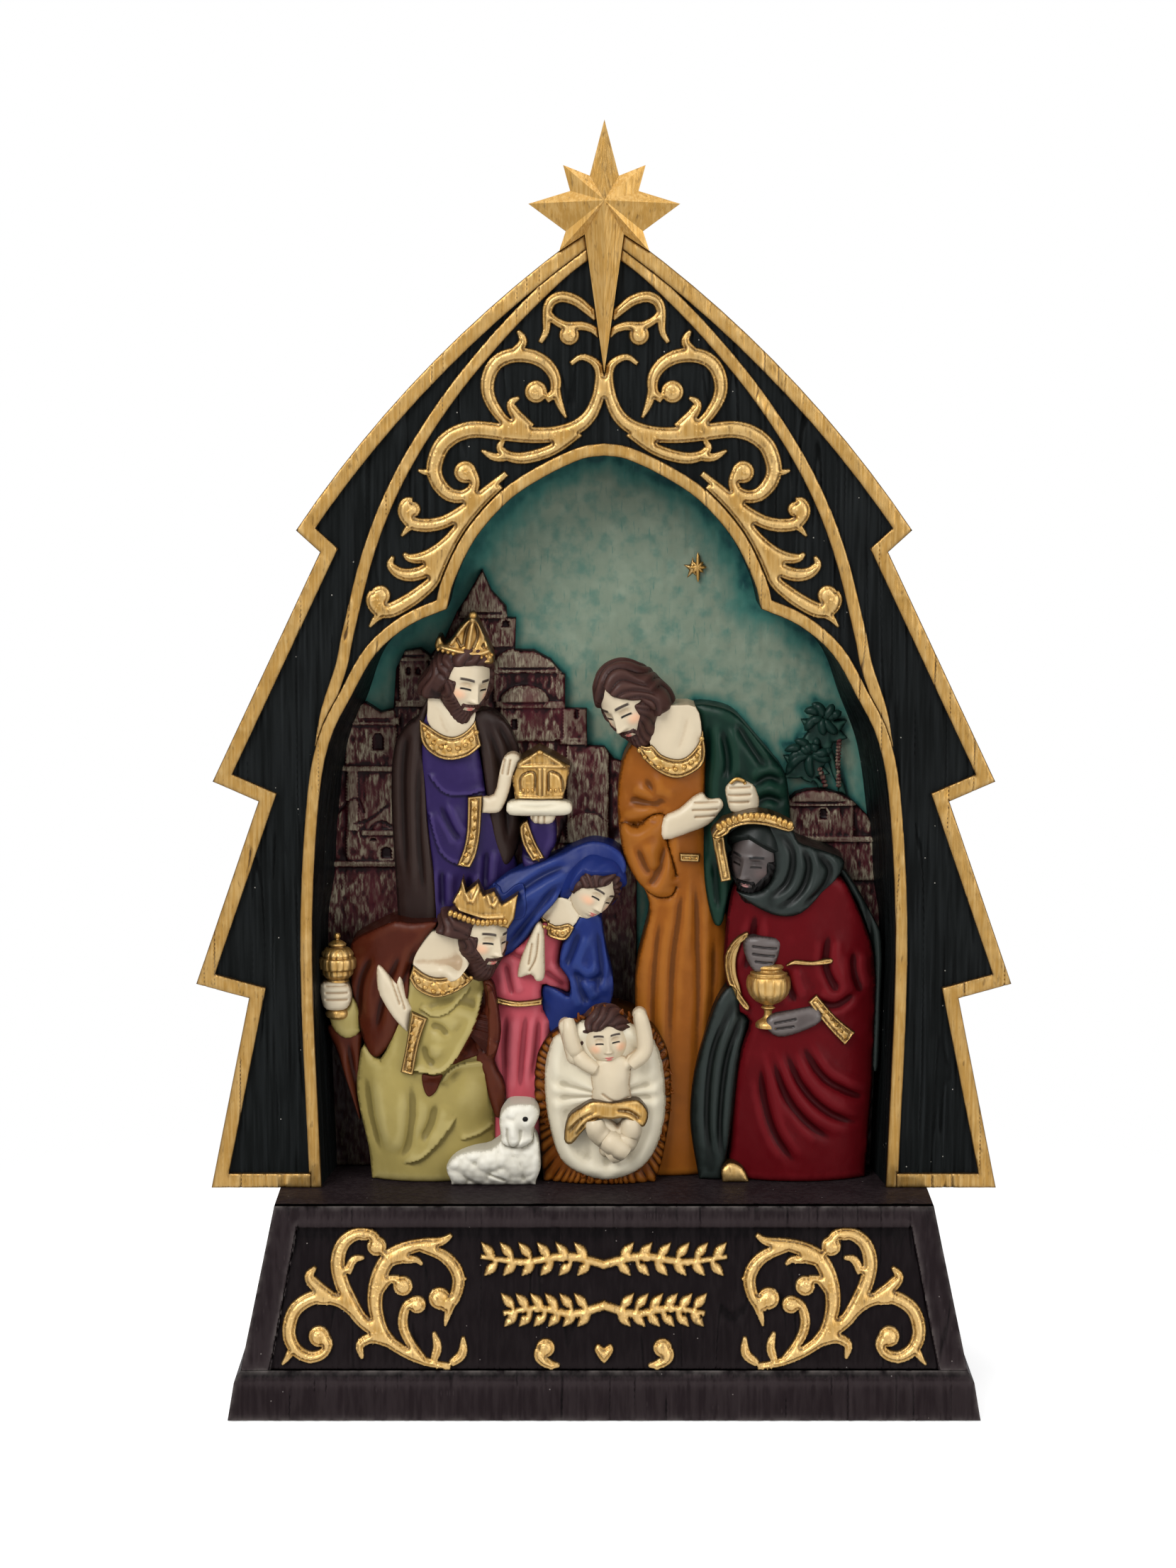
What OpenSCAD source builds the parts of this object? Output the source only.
// Nativity tree figurine: a fir-shaped niche frame on a plinth, with a carved stable scene inside.
// Millimetres. +Z up, the front faces -Y, origin at the middle of the plinth's underside.
// Outlines are a few points read in the front view, joined by smooth curves.

/* [Plinth] */
// Height of the plinth, which is the floor of the niche
base_h = 42.3; // [36:0.1:60]
// Width of the foot at the table
base_w = 152.4; // [146:0.2:190]
// Width of the plinth's top
base_top_w = 134; // [128:0.5:150]
// Depth of the foot at the table
base_d = 66; // [62:0.5:90]
// Depth of the plinth's top
base_top_d = 49; // [46:0.5:60]
// Height of the foot moulding with its sloped ledge
foot_h = 9.9; // [8:0.1:13]
// Depth of the sunk front panel
panel_recess = 1; // [0.6:0.1:2]
// Height of the gold ornament on the front panel
panel_relief = 1.7; // [1:0.1:3]

/* [Tree frame] */
// Half width of the lowest tier at the plinth
low_foot = 81.3; // [78:0.1:90]
// Half width at the tips of the lowest tier
low_tip = 83.8; // [80:0.1:92]
// Half width at the tips of the middle tier
mid_tip = 79.8; // [76:0.1:86]
// Half width at the tips of the top tier
top_tip = 62.2; // [60.5:0.1:68]
// Height of the tree's point above the plinth
peak_h = 198.5; // [194:0.5:210]
// Outward bow of the top tier's edge
top_bow = 4.1; // [2:0.1:6]
// Thickness of the frame behind the gold rims
frame_t = 28.5; // [24:0.5:40]
// Width of the gold border along the tree's edge
border_w = 3; // [2:0.1:4]
// Height of the gold rims over the black face
rim_t = 1.5; // [0.8:0.1:2.5]

/* [Niche] */
// Half width of the niche at its widest
niche_half = 59.9; // [59.4:0.1:62]
// Height of the niche's point above the plinth
niche_h = 151.2; // [148:0.2:156]
// Depth of the niche from the rims' front to the sky panel
niche_t = 20; // [16:0.5:24]
// Width of the gold rim around the niche
arch_w = 2.5; // [1.8:0.1:3.2]
// Width of the gold ogive rib above the niche
ogive_w = 2.5; // [1.8:0.1:3.2]
// Height of the scroll tracery over the black face
tracery_t = 1.8; // [1:0.1:3]
// Thickness of the sky panel
sky_t = 2; // [1:0.1:4]

/* [Star] */
// Height of the star's middle above the plinth
star_h = 201.8; // [198:0.2:208]
// Reach of the star's upright ray
star_up = 15.9; // [12:0.1:20]
// Reach of each side ray
star_side = 15.1; // [12:0.1:20]
// Reach of the long lower ray
star_tail = 34; // [26:0.5:40]
// How far the star's middle stands in front of the black face
star_front = 6; // [4:0.1:9]
// How far the star's upper part reaches back over the tree's point
star_back = 5; // [3:0.1:8]

// How heavy the strokes of the tracery are
vine_w = 1.35; // [0.9:0.05:1.5]

/* [Figures] */
// Height of collars, cuffs and belts over the cloth below them
trim_t = 0.8; // [0.4:0.1:1.5]
// How far the standing row comes forward of the sky panel
back_row = 11; // [9:0.5:12]
// How far the mother comes forward of the sky panel
mid_row = 13.2; // [12.5:0.1:14]
// How far the kings at the sides come forward of the sky panel
front_row = 16; // [15:0.1:17]
// How far the crib comes forward of the sky panel
crib_row = 17.5; // [16.5:0.1:18.5]

/* [Hidden] */
$fn = 48;
eps = 0.01;
drawn_floor = 42.3;
drawn_half = 59.9;
lift_z = base_h - drawn_floor;
rim_y = -10;
face_y = rim_y + rim_t;
back_y = face_y + frame_t;
sky_y = rim_y + niche_t;
side_x = niche_half - drawn_half;
lean = atan((base_d - base_top_d - 3.6) / 2 / (base_h - foot_h));
body_w = base_w - 5.2;
body_d = base_d - 3.6;
panel_low_w = body_w - 11.2;
panel_top_w = base_top_w - 9.2;
panel_h = (base_h - foot_h) / cos(lean) - 4;
ornament_z = panel_h / 29.09;
gold = [0.78, 0.6, 0.32];
black = [0.1, 0.1, 0.1];
skin = [0.9, 0.84, 0.72];
hair_brown = [0.22, 0.15, 0.12];

function unit(v) = v / norm(v);
function cr(a, b, c, d, t) =
    0.5 * (2 * b + (c - a) * t + (2 * a - 5 * b + 4 * c - d) * t * t + (3 * b - a - 3 * c + d) * t * t * t);
// Smooth closed curve through the points; a point given twice is a corner.
function ring(p, n = 3) =
    let (m = len(p))
    [for (i = [0:m - 1]) if (norm(p[i] - p[(i + 1) % m]) > eps)
        for (k = [0:n - 1]) cr(p[(i + m - 1) % m], p[i], p[(i + 1) % m], p[(i + 2) % m], k / n)];
// Smooth open curve through the points.
function path(p, n = 4) =
    let (m = len(p), q = concat([2 * p[0] - p[1]], p, [2 * p[m - 1] - p[m - 2]]))
    concat([for (i = [0:m - 2]) for (k = [0:n - 1]) cr(q[i], q[i + 1], q[i + 2], q[i + 3], k / n)], [p[m - 1]]);
// Closed outline moved inward by d, with mitred corners; the points run anticlockwise.
function inset(p, d) =
    let (m = len(p))
    [for (i = [0:m - 1])
        let (u = unit(p[i] - p[(i + m - 1) % m]), v = unit(p[(i + 1) % m] - p[i]),
            a = [-u.y, u.x], b = [-v.y, v.x])
        p[i] + d * (a + b) / (1 + a * b)];
// Points on a circular arc from a to b that bows to the right of the chord by s.
function bow(a, b, s, n = 12) =
    let (c = norm(b - a), r = c * c / (8 * s) + s / 2, u = unit(b - a), w = [u.y, -u.x],
        o = (a + b) / 2 - w * (r - s), h = asin(c / 2 / r))
    [for (k = [0:n]) let (t = -h + 2 * h * k / n) o + r * (w * cos(t) + u * sin(t))];
function flip(p) = [for (i = [len(p) - 1:-1:0]) [-p[i].x, p[i].y]];
function whole(half) = concat(half, flip([for (q = half) if (q.x > eps) q]));
function shift(p, dx, dz = 0) = [for (q = p) [q.x + dx, q.y + dz]];

// Outlines of the frame, above the plinth, right half from the bottom up.
tree_half = concat(
    [[low_foot, 0], [low_foot - 8.3, 40], [low_tip, 43], [mid_tip - 9.3, 80.9], [mid_tip, 85],
        [top_tip - 4.8, 131.8]],
    bow([top_tip, 136.2], [0, peak_h], top_bow));
tree_line = whole(tree_half);
arch_low = path([[niche_half - 1.4, 0], [niche_half, 47.7], [niche_half - 1.4, 77.7], [niche_half - 3.9, 92.7],
    [niche_half - 8.7, 102.7], [niche_half - 13.6, 111.1], [39.5, 116.9], [31.8, 120.3]], 4);
arch_top = path([[31.8, 120.3], [30.3, 125.9], [26, 134.5], [19.2, niche_h - 9], [11.8, niche_h - 4.1],
    [4.5, niche_h - 0.7], [0, niche_h]], 4);
arch_half = concat([for (i = [0:len(arch_low) - 2]) arch_low[i]], arch_top);
arch_line = whole(arch_half);
arch_outer = concat([[niche_half - 1.4 + arch_w, 0]],
    [for (q = inset(arch_line, -arch_w)) if (q.y > 0.5) q], [[-(niche_half - 1.4 + arch_w), 0]]);
ogive_half = [[niche_half - 2.2, 92], [56.3, 99.7], [53.3, 108.7], [51.8, 115.7], [47.5, 132.1], [41.4, 146.7],
    [32.2, 161.5], [21, 175.2], [9.5, 186.7], [2, 192.5]];
star_line = [[0, star_up], [-2.9, 4.9], [-8.2, 7], [-6.8, 1.9], [-star_side, -0.6], [-7.7, -6], [-9, -9.9],
    [-3.9, -6.6], [0, -star_tail], [3.9, -6.6], [9, -9.9], [7.7, -6], [star_side, -0.6], [6.8, 1.9], [8.2, 7],
    [2.9, 4.9]];

// Flat ribbon along a smooth curve, with its width at the start, middle and end.
module stroke(p, w, n = 4) {
    q = path(p, n);
    m = len(q) - 1;
    t = [for (i = [0:m]) unit(q[min(i + 1, m)] - q[max(i - 1, 0)])];
    h = [for (i = [0:m]) let (s = i / m) (w[0] * (1 - s) * (1 - 2 * s) + w[1] * 4 * s * (1 - s)
        + w[2] * s * (2 * s - 1)) / 2];
    polygon(concat([for (i = [0:m]) q[i] + h[i] * [-t[i].y, t[i].x]],
        [for (i = [m:-1:0]) q[i] - h[i] * [-t[i].y, t[i].x]]));
}
module dot(x, z, r) {
    translate([x, z])
        circle(r = r, $fn = 24);
}
// Scroll of the tracery, with a blunt end.
module vine(p, w) {
    stroke(p, [for (v = w) v * vine_w + 0.25]);
}
// Leaf with a point at each end.
module leaf(a, b, w) {
    u = unit(b - a);
    k = [-u.y, u.x] * w / 2;
    polygon(ring([a, a, a + (b - a) * 0.3 + k * 0.85, a + (b - a) * 0.6 + k, b, b, a + (b - a) * 0.6 - k,
        a + (b - a) * 0.3 - k * 0.85]));
}
// Stands a front-view shape up, from depth y0 forward to y1, on the plinth's top.
module upright(y0, y1) {
    translate([0, y0, base_h])
        rotate([90, 0, 0])
            linear_extrude(height = y0 - y1)
                children();
}
// Puts a shape on the sloped front of the plinth, sunk by d, h high.
module on_front(d, h) {
    translate([0, -body_d / 2, foot_h])
        rotate([90 - lean, 0, 0])
            translate([0, 0, -d])
                linear_extrude(height = h)
                    children();
}
// Puts the gold ornament in the sunk panel, drawn for a panel 136 by 29.09 and stretched to this one.
module ornament() {
    on_front(panel_recess, panel_relief)
        scale([1, ornament_z])
            children();
}
// Width of the panel at height z of the slope, as a share of the drawn panel's width there.
function panel_share(z) = (panel_low_w + (panel_top_w - panel_low_w) * z / 29.09) / (136 - 11.2 * z / 29.09);
// Front-panel points as read in the front view, laid into the slope and stretched between its sides.
function pan(p) = [for (q = p) let (z = (q.y - 10.15) * 0.967) [q.x * 1.005 * panel_share(z), z]];
module panel_stroke(p, w) {
    stroke(pan(p), [for (v = w) v * 1.15 + 0.3]);
}
module panel_dot(x, z, r) {
    c = pan([[x, z]])[0];
    dot(c.x, c.y, r * 1.1);
}
module both() {
    children();
    mirror([1, 0, 0])
        children();
}

// Carved piece: outline p as read, from lift b to lift f in front of the sky, rounded like a barrel
// about the line m[0]-m[1], falling by m[3] at m[2] to each side.
module carve(p, b, f, m, n = 3) {
    s = m[1] - m[0];
    r = (m[2] * m[2] + m[3] * m[3]) / (2 * m[3]);
    c = (m[0] + m[1]) / 2;
    translate([0, sky_y, lift_z])
        intersection() {
            translate([0, -b, 0])
                rotate([90, 0, 0])
                    linear_extrude(height = f - b)
                        intersection() {
                            polygon(ring(p, n));
                            translate([-100, drawn_floor])
                                square([200, 250]);
                        }
            translate([c.x, r - f, c.y])
                rotate([0, atan2(s.x, s.y), 0])
                    cylinder(h = 400, r = r, center = true, $fn = 96);
        }
}
// Plain head: an egg of half width a and half height h, its top turned by t to the right.
module egg(x, z, lift, a, h, t) {
    half = [for (k = [0:12]) let (u = -90 + 15 * k) [a * cos(u) * (1 + 0.1 * sin(u)), h * sin(u)]];
    translate([x, sky_y - lift, z + lift_z])
        rotate([0, t, 0])
            rotate_extrude($fn = 48)
                polygon(concat([[0, -h]], [for (i = [1:11]) half[i]], [[0, h]]));
}
// Turned vessel with a half profile of [radius, height] points.
module turned(x, lift, p) {
    translate([x, sky_y - lift, lift_z])
        rotate_extrude($fn = 48)
            polygon(concat([[0, p[0].y]], p, [[0, p[len(p) - 1].y]]));
}
// Limb: rounded rod from a to b, each [x, lift, z, radius].
module limb(a, b) {
    hull() {
        translate([a[0], sky_y - a[1], a[2] + lift_z])
            sphere(r = a[3], $fn = 16);
        translate([b[0], sky_y - b[1], b[2] + lift_z])
            sphere(r = b[3], $fn = 16);
    }
}

// Barrels that round the figures: axis from, axis to, half width, fall.
m_standing = [[-31.5, 60], [-31.5, 160], 12, 4];
m_gift = [[-13, 60], [-13, 160], 6, 1.5];
m_father = [[13.5, 40], [13.5, 160], 12, 4];
m_shoulder = [[28, 60], [28, 160], 10, 3];
m_veil = [[-20, 98], [2, 108], 9, 3.5];
m_mantle = [[-5, 60], [-5, 120], 7, 2.2];
m_dress = [[-16.5, 40], [-16.5, 120], 8, 2.6];
m_kneeling = [[-36.5, 40], [-36.5, 120], 14, 5];
m_scarfed = [[40.5, 40], [40.5, 130], 15, 5];
m_scarf = [[37, 40], [37, 130], 12, 3];
m_train = [[24, 40], [24, 90], 6, 2];
m_crib = [[0, 40], [0, 90], 13, 4];
m_lamb = [[-33, 47], [-12, 47], 9, 4];

// Outlines of the figures as read in the front view.
o_town_left = [[-61, 42.3], [-61, 42.3], [-61, 118], [-59, 128], [-55.5, 138], [-53.2, 140.6], [-49.5, 141.6],
    [-46.4, 139.6], [-43.8, 140.2], [-43.8, 140.2], [-43.2, 148.6], [-41.3, 152.4], [-38, 152.9], [-36, 151.4],
    [-33, 155], [-30.5, 160.5], [-28.5, 163.5], [-25.2, 169.3], [-25.2, 169.3], [-23.3, 165], [-20.2, 161.6],
    [-20, 159.3], [-18.2, 159.2], [-18.2, 159.2], [-18.4, 152.6], [-18.4, 152.6], [-14.5, 152.5], [-11, 150.6],
    [-8.6, 147.6], [-8, 147.4], [-8, 140.3], [-8, 140.3], [-3.5, 140.2], [-3.5, 140.2], [-3.4, 132.4],
    [-3.4, 132.4], [0.2, 132.2], [2.2, 129.6], [7, 128], [7, 128], [7, 42.3], [7, 42.3]];
o_town_right = [[24, 42.3], [24, 42.3], [24, 115], [32, 117], [37, 119.5], [40.2, 122.6], [45, 123.4],
    [50, 122.2], [53, 120], [57.4, 114], [60.5, 100], [60.5, 100], [60.5, 42.3], [60.5, 42.3]];
o_king_robe = [[-37.8, 139], [-38, 130], [-37.6, 122], [-37, 114], [-36, 106], [-36, 92], [-36, 92], [-15, 92],
    [-15, 92], [-17, 104], [-20, 114], [-24, 122], [-25, 128], [-26, 134], [-27, 139], [-32, 142]];
o_king_sleeve = [[-15.8, 118.2], [-13, 118.6], [-10.2, 117.9], [-9.8, 113.2], [-11.4, 109.8], [-12, 104],
    [-15, 104], [-17, 110]];
o_king_cloak_l = [[-35.8, 144], [-38.4, 139.4], [-40.6, 137.6], [-42.9, 134.3], [-43.9, 129.3], [-44.1, 121],
    [-43.7, 112], [-43.2, 103], [-42.6, 92], [-42.6, 92], [-34.6, 92], [-34.6, 92], [-34.7, 102], [-35.6, 110],
    [-36.5, 118], [-37, 126], [-37.4, 133], [-36.8, 139]];
o_king_cloak_r = [[-27.2, 138.6], [-26, 140.6], [-23.3, 140.6], [-20.6, 138.6], [-18.7, 135.3], [-17.4, 131],
    [-16.8, 123], [-17.1, 115], [-18.5, 110], [-20.6, 108], [-22.2, 111.6], [-23.6, 118], [-24.6, 126],
    [-25.6, 133]];
o_king_collar = [[-37.9, 139], [-37.9, 139], [-37.8, 135.4], [-36.6, 132.9], [-33.9, 131.1], [-31, 130.7],
    [-27.7, 131.6], [-25.2, 133.6], [-25.2, 133.6], [-26.4, 138.9], [-26.4, 138.9], [-28.2, 136.8],
    [-30.6, 135.6], [-32.9, 135.9], [-35.3, 137.3]];
o_king_cuff1 = [[-28.1, 123], [-28.1, 123], [-25.1, 123.2], [-25.1, 123.2], [-25.5, 115.5], [-26.4, 110.8],
    [-27.7, 108.1], [-27.7, 108.1], [-30.4, 108.7], [-30.4, 108.7], [-29.1, 111.8], [-28.3, 116]];
o_king_cuff2 = [[-17.4, 116.4], [-15.8, 118], [-15.8, 118], [-14.2, 113.6], [-12.2, 110], [-12.2, 110],
    [-14.8, 109.3], [-14.8, 109.3], [-16.7, 112.6]];
o_king_neck = [[-35.2, 146], [-36.3, 141], [-36, 138], [-33, 135], [-30.6, 134.6], [-28, 136], [-26.4, 140],
    [-28, 145]];
o_king_hair = [[-33.6, 153.4], [-35.9, 151.2], [-37.1, 148.8], [-36.5, 146.2], [-34.3, 145.2], [-33.3, 143],
    [-32, 147], [-29, 152], [-24.4, 151.4], [-23.4, 147.6], [-23.2, 150.6], [-25, 154], [-30, 155]];
o_king_beard = [[-33.4, 147], [-33.3, 143.6], [-31.6, 140.8], [-29.2, 138.9], [-27.2, 139.2], [-26, 141.2],
    [-25.6, 143.6], [-27, 143.9], [-29, 143.2], [-31, 144.4], [-32, 148]];
o_king_crown = [[-34.6, 153.9], [-34.2, 156], [-33.4, 156.2], [-32.6, 154.8], [-31, 156], [-29.4, 158.6],
    [-27.6, 160], [-26.8, 161], [-25.8, 159.4], [-24.2, 156.2], [-22.7, 152.6], [-22.8, 150.7], [-25.5, 150.9],
    [-29, 151.9], [-32, 152.8]];
o_king_arm = [[-26, 122.9], [-26, 122.9], [-22.7, 123.4], [-21.5, 128.2], [-20.5, 131.2], [-18.5, 132],
    [-17.2, 130.7], [-18.6, 127.9], [-19.5, 124.1], [-20.9, 120.6], [-22.4, 119.5], [-26, 119.5], [-26, 119.5]];
o_king_fingers = [[-15, 119.9], [-14.8, 117.7], [-13, 117.2], [-10.6, 117.5], [-10.1, 119.9]];
o_cushion = [[-20.1, 120.6], [-19.2, 122.2], [-13.3, 122.6], [-7.8, 122.2], [-6.5, 121], [-7, 119.6],
    [-9, 119.1], [-13.3, 119], [-18.6, 119.1], [-19.8, 119.7]];
o_chest = [[-18.3, 122.4], [-19, 127.4], [-18.9, 129.2], [-17, 130.9], [-14.8, 132.1], [-13.3, 133.1],
    [-11.7, 132.2], [-9.6, 131.1], [-7, 129.5], [-7.2, 127.4], [-8.4, 122.4]];

o_father_robe = [[6.4, 134.4], [4.5, 131.4], [3.4, 127.6], [2.9, 122.4], [3.1, 116.7], [4.1, 111], [6, 106.8],
    [8.4, 103.6], [9.6, 98.7], [8.2, 92.5], [7, 86.8], [6.6, 80], [7.5, 60], [8, 42.3], [8, 42.3], [24, 42.3],
    [24, 42.3], [25, 60], [26, 80], [26.4, 96], [23.6, 99], [21.8, 106], [21, 116], [21, 127], [20.6, 136],
    [14, 138], [9, 136.6]];
o_father_sleeve = [[3.6, 117], [7, 116.6], [10, 119], [12.8, 118.8], [13, 114], [14.4, 109], [15.2, 105],
    [14.2, 102.2], [11.3, 101.9], [8.3, 103.8], [6, 106.8], [4.1, 111]];
o_father_cloak = [[18.9, 141.8], [23.6, 141.5], [26.9, 140.2], [29.4, 137.6], [32.3, 134.2], [35.1, 130.9],
    [37.5, 127.5], [38.4, 123], [38.4, 114], [32, 110], [26.6, 104.4], [24.9, 96.8], [23.6, 95.6], [22.5, 97.3],
    [21.1, 103.4], [20.4, 110.6], [20.4, 118], [20.9, 127], [20.8, 134], [19.6, 139]];
o_father_neck = [[10.6, 142.4], [14, 142], [18.9, 141.6], [20.2, 136.7], [19.6, 133], [17, 130.8], [14.4, 130.4],
    [11.4, 131.6], [9.4, 134.4]];
o_father_collar = [[6.5, 134.6], [6.5, 134.6], [7.9, 131.3], [10.8, 128.5], [14.1, 127], [17.1, 127.3],
    [20.3, 129.4], [21, 132.4], [20.4, 136.8], [20.4, 136.8], [19.3, 133.7], [17, 131.3], [14.6, 130.9],
    [11.8, 131.9], [9.7, 134]];
o_father_belt = [[15.7, 111.2], [15.7, 111.2], [20, 110.9], [20, 110.9], [19.8, 109.2], [19.8, 109.2],
    [15.8, 109.5], [15.8, 109.5]];
o_father_hair = [[-1.4, 141], [-1.9, 144.2], [-1.1, 147.1], [0.8, 149.9], [3.3, 152.1], [6.5, 152.2],
    [10.3, 150.3], [13.7, 147.7], [15.7, 144.7], [14.9, 141.8], [12.5, 141], [10.6, 143.3], [7.5, 144.4],
    [4.2, 144.9], [0.6, 144.2], [-0.2, 142.4]];
o_father_beard = [[8.9, 143.2], [11, 142.6], [11.6, 139], [11, 135.6], [9.4, 133.6], [7.4, 134], [5.9, 135.6],
    [5.4, 137.4], [7.4, 137.6], [8.8, 139.6]];
o_father_hand1 = [[12.3, 114], [12.3, 118.6], [15.6, 120.5], [18.4, 122.9], [20.4, 123.7], [21.6, 122.5],
    [23.9, 122.7], [24.7, 121.2], [23.6, 119.4], [21.7, 117.2], [18.4, 115.7]];
o_father_fist = [[25.2, 125.1], [27.4, 126.6], [30.7, 125.6], [32, 122.9], [31.7, 120.4], [29, 119.6],
    [26.3, 120], [25.4, 122.6]];

o_mother_veil = [[4.7, 108.7], [3.5, 111.5], [1, 113.1], [-2.2, 113.7], [-5.4, 112.7], [-8.5, 111.1],
    [-12.5, 109.4], [-16.9, 107.9], [-20.6, 106.3], [-25, 102], [-25.5, 94], [-23.5, 88.6], [-20, 89.4],
    [-16.6, 92.4], [-14, 96.2], [-12.3, 98.6], [-10, 101.3], [-8.4, 103.8], [-5.8, 106], [-2.6, 107.6],
    [0.8, 107.9], [3.9, 106.8]];
o_mother_mantle = [[-2.6, 98.7], [-0.6, 97.8], [-0.1, 94.6], [0.7, 89.8], [1.9, 85], [1.9, 81], [0, 76],
    [-4, 72], [-9.7, 72], [-12.2, 75.9], [-13, 80.3], [-12.4, 83.2], [-9.6, 82.4], [-7.2, 81.2], [-7, 84.2],
    [-8.3, 86.4], [-9.2, 88], [-8.5, 92.2], [-6.6, 95.6], [-5.2, 98]];
o_mother_dress = [[-13.6, 96], [-16.6, 92.6], [-20, 89.8], [-24.4, 87.6], [-24.6, 83], [-24.4, 76], [-25.5, 68],
    [-24, 60], [-23, 48], [-13, 48], [-12, 60], [-10.4, 73.5], [-12.6, 78], [-12.8, 83.4], [-9.8, 82.2],
    [-7.2, 81], [-7, 84.4], [-8.8, 87.4], [-8.4, 92], [-6.4, 96.2], [-9.4, 97.4]];
o_mother_neck = [[-13, 98], [-10, 102], [-6, 101], [-5, 98.6], [-6.3, 96.2], [-8.6, 95.4], [-11, 95.8]];
o_mother_collar = [[-13, 97.9], [-13, 97.9], [-12.2, 94.5], [-10.1, 93.3], [-7.7, 93.3], [-6.1, 95.8],
    [-6.1, 95.8], [-7.3, 96.8], [-10.1, 96.2]];
o_mother_belt = [[-22.4, 81], [-22.4, 81], [-18, 80.3], [-12.7, 80.8], [-12.7, 80.8], [-12.8, 79.5],
    [-12.8, 79.5], [-18, 79.1], [-22.2, 79.6], [-22.2, 79.6]];
o_mother_hair = [[-9.4, 102.4], [-6.4, 106.3], [-3, 108.3], [0.6, 108.6], [4, 107.3], [4.4, 105.2], [3.4, 103.8],
    [2.6, 105.4], [-0.4, 106.2], [-3.2, 105.9], [-6, 104.4], [-8, 101.6]];
o_mother_hands = [[-13.6, 96.9], [-12.4, 95.4], [-12.2, 90.2], [-12.3, 85.4], [-13.9, 84.7], [-15.1, 86.1],
    [-17.9, 85.4], [-17, 89.8], [-15.1, 94.2]];

o_kneel_robe = [[-41, 84], [-43, 76], [-46.5, 68], [-50, 70.5], [-51.4, 66], [-51.6, 60.4], [-50.6, 55],
    [-49.2, 49.2], [-48.5, 42.3], [-48.5, 42.3], [-22.5, 42.3], [-22.5, 42.3], [-21.2, 50], [-21, 54],
    [-22.6, 57], [-23, 63], [-24.4, 67.2], [-24, 76], [-24.6, 85], [-29, 87], [-34, 88], [-38.6, 87]];
o_kneel_arm = [[-38, 77.6], [-33, 80], [-27.6, 79], [-26.1, 76.6], [-28.8, 71.6], [-31, 67.4], [-33.3, 65.2],
    [-36, 64.6], [-39.4, 65], [-40, 70]];
o_kneel_cloak = [[-34.4, 97.4], [-39.6, 97.3], [-43.2, 97.5], [-47.2, 95.7], [-50.8, 93.7], [-52.5, 92],
    [-52.9, 88.6], [-52.5, 82.8], [-51.5, 77], [-50.1, 71.6], [-48.5, 68.8], [-46.7, 68.6], [-44.5, 71.5],
    [-42.5, 75.4], [-40.6, 81], [-40, 87], [-38.8, 90.6], [-36.8, 94]];
o_kneel_wrap = [[-25, 85.2], [-22.8, 84], [-22, 79.7], [-21.3, 73.9], [-22.2, 69.6], [-22.6, 67.2], [-20.4, 62.2],
    [-20.8, 57], [-22.4, 55.6], [-24, 60], [-26, 66.6], [-31.4, 66.6], [-28.8, 71.6], [-26, 77], [-24.8, 81]];
o_kneel_tail = [[-57.8, 74.2], [-54, 74.8], [-50.4, 74], [-51.1, 67.1], [-51.4, 60.4], [-51, 54], [-53, 60.4],
    [-55.4, 68]];
o_kneel_collar = [[-40.2, 86], [-40.2, 86], [-38.7, 83.6], [-35.1, 81.9], [-31.5, 82.5], [-28.4, 84.1],
    [-26.5, 86], [-26.5, 86], [-29, 88], [-29, 88], [-32.4, 86.2], [-36, 86.4], [-39.3, 88.6], [-39.3, 88.6]];
o_kneel_cuff = [[-39.7, 78.9], [-39.7, 78.9], [-36.4, 77.6], [-36.4, 77.6], [-37.7, 73.9], [-38.6, 70.3],
    [-39.5, 65.5], [-39.5, 65.5], [-42.1, 66.1], [-42.1, 66.1], [-41.2, 70.3], [-40.5, 74.3]];
o_kneel_neck = [[-34, 98], [-36.6, 94], [-38.6, 90], [-38, 86.6], [-34.6, 85.4], [-31, 85.6], [-29, 87.6],
    [-29, 94]];
o_kneel_hair = [[-31, 101.6], [-33.4, 100], [-34.7, 97.2], [-33.7, 95.4], [-31.2, 95], [-30.8, 92], [-29.6, 95],
    [-27, 98.4], [-22, 98.6], [-24, 100.4], [-28, 102.4]];
o_kneel_beard = [[-31, 95.6], [-30.8, 91.5], [-29.4, 88], [-27, 85.4], [-24.6, 85.2], [-23.4, 87.4],
    [-22.6, 89.6], [-24, 90.4], [-26.6, 89.6], [-28, 90.6], [-28.8, 94.4]];
o_kneel_crown = [[-31.2, 101.8], [-29.7, 100.2], [-26.1, 98.9], [-23, 97.5], [-19.7, 96.3], [-18.4, 98.5],
    [-17.6, 103.5], [-20.9, 101.5], [-22.5, 104.2], [-24.7, 103.4], [-25.9, 106], [-28.3, 103.9], [-29, 107],
    [-29.9, 104]];
o_kneel_hand = [[-46.9, 87.9], [-45.7, 87.8], [-43.2, 85], [-42, 86.4], [-40.6, 81.5], [-39.4, 78.6],
    [-40.2, 74.3], [-42.7, 76.4], [-45, 79.6], [-46.8, 83.3]];
o_kneel_grip = [[-58.9, 83.6], [-56, 84.2], [-53.2, 83.6], [-52.4, 81], [-53.4, 78.6], [-56, 78.2], [-58.3, 79]];
o_kneel_wrist = [[-56.8, 79], [-53, 81], [-51, 78], [-50.8, 73.4], [-53.9, 72], [-56.8, 74.6]];

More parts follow.
